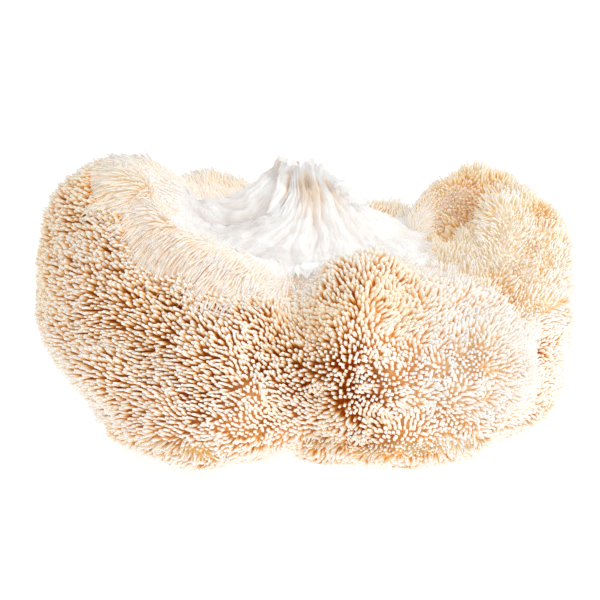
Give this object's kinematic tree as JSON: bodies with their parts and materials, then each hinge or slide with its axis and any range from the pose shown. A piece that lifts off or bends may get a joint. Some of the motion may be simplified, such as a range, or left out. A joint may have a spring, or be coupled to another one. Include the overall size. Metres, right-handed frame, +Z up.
{
  "type": "lion's mane mushroom",
  "caption": "Picked lion's mane mushroom: rounded lobes covered in short soft spines round a torn, folded white base.",
  "frame": {"origin": "under the middle of the mushroom, on the surface it rests on", "axes": "+X along its length, to the right as the picture shows it; -Y towards the picture's viewer; +Z up"},
  "size_m": [0.1792, 0.1253, 0.0909],
  "materials": {
    "flesh": "matte"
  },
  "bodies": {
    "root": {"fruiting_body": "flesh"}
  },
  "joints": []
}
